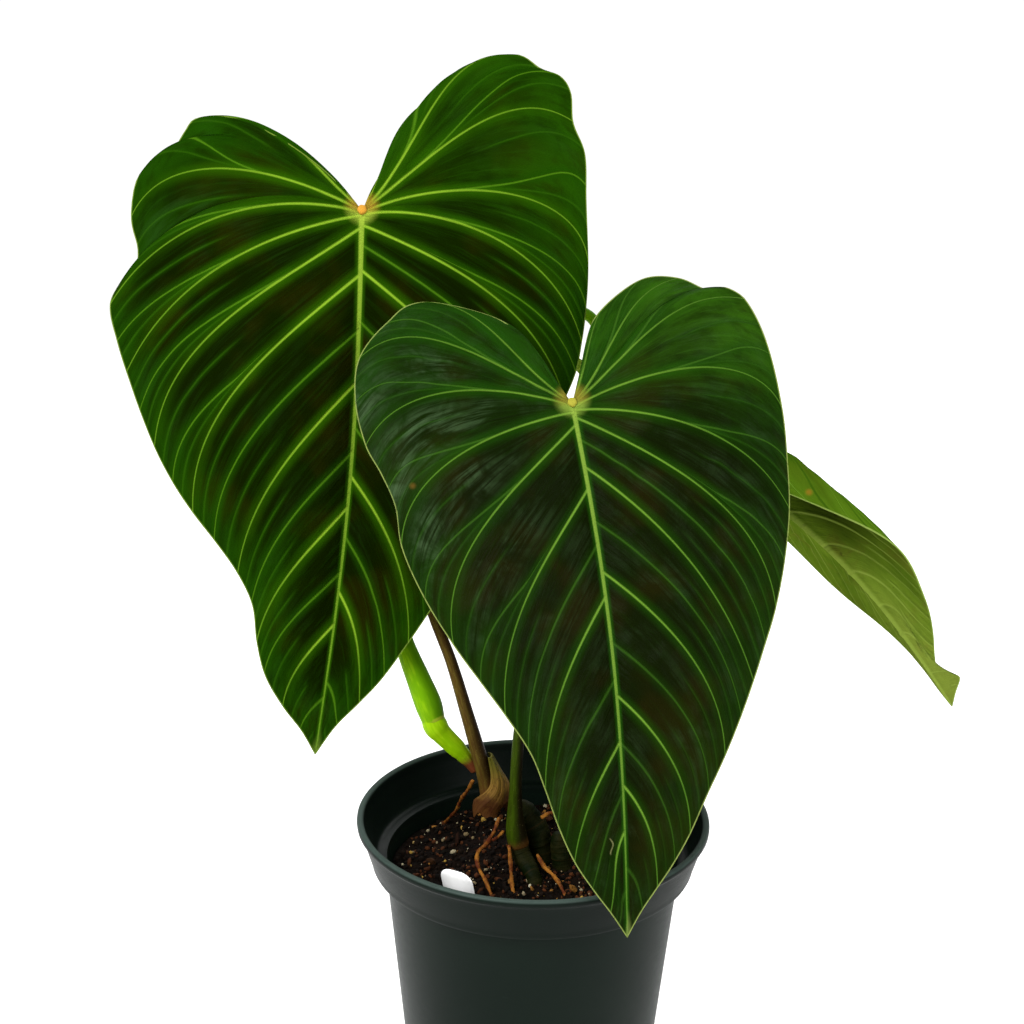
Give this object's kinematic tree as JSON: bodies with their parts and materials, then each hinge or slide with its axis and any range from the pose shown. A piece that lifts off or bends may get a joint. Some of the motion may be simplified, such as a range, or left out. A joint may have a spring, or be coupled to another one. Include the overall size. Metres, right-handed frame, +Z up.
{
  "type": "potted philodendron",
  "caption": "Potted philodendron with long heart-shaped, pale-veined leaves on tall petioles, a creeping stem with a new shoot and aerial roots, in a round tapered nursery pot.",
  "frame": {"origin": "middle of the pot's flat underside", "axes": "+Z up along the pot; -Y the side that the two nearer leaves face"},
  "size_m": [0.3775, 0.2383, 0.4558],
  "materials": {
    "pot_plastic": "satin, moulded",
    "label_plastic": "smooth",
    "mix": "loose damp peat with grit and bark",
    "blade": "velvety, pale green veins",
    "blade_under": "matte underside",
    "petiole_olive": "smooth, waxy",
    "petiole_brown": "smooth, waxy",
    "shoot_green": "smooth, waxy",
    "dry_sheath": "dry, papery",
    "old_stem": "rough",
    "root": "fibrous",
    "bark": "rough"
  },
  "bodies": {
    "root": {"pot": "pot_plastic", "plant_label": "label_plastic", "potting_mix": "mix", "front_leaf_blade": "blade", "left_leaf_blade": "blade", "rear_leaf_blade": "blade_under", "front_leaf_petiole": "petiole_olive", "left_leaf_petiole": "petiole_brown", "rear_leaf_petiole": "shoot_green", "shoot_internode": "shoot_green", "dried_sheath": "dry_sheath", "rhizome": "old_stem", "old_stem": "old_stem", "old_stem_stub": "old_stem", "root_1": "root", "root_2": "root", "root_3": "root", "root_4": "root", "root_5": "root", "root_6": "root", "root_7": "root", "bark_chip_1": "bark", "bark_chip_2": "bark", "bark_chip_3": "bark", "bark_chip_4": "bark", "bark_chip_5": "bark", "bark_chip_6": "bark"}
  },
  "joints": []
}
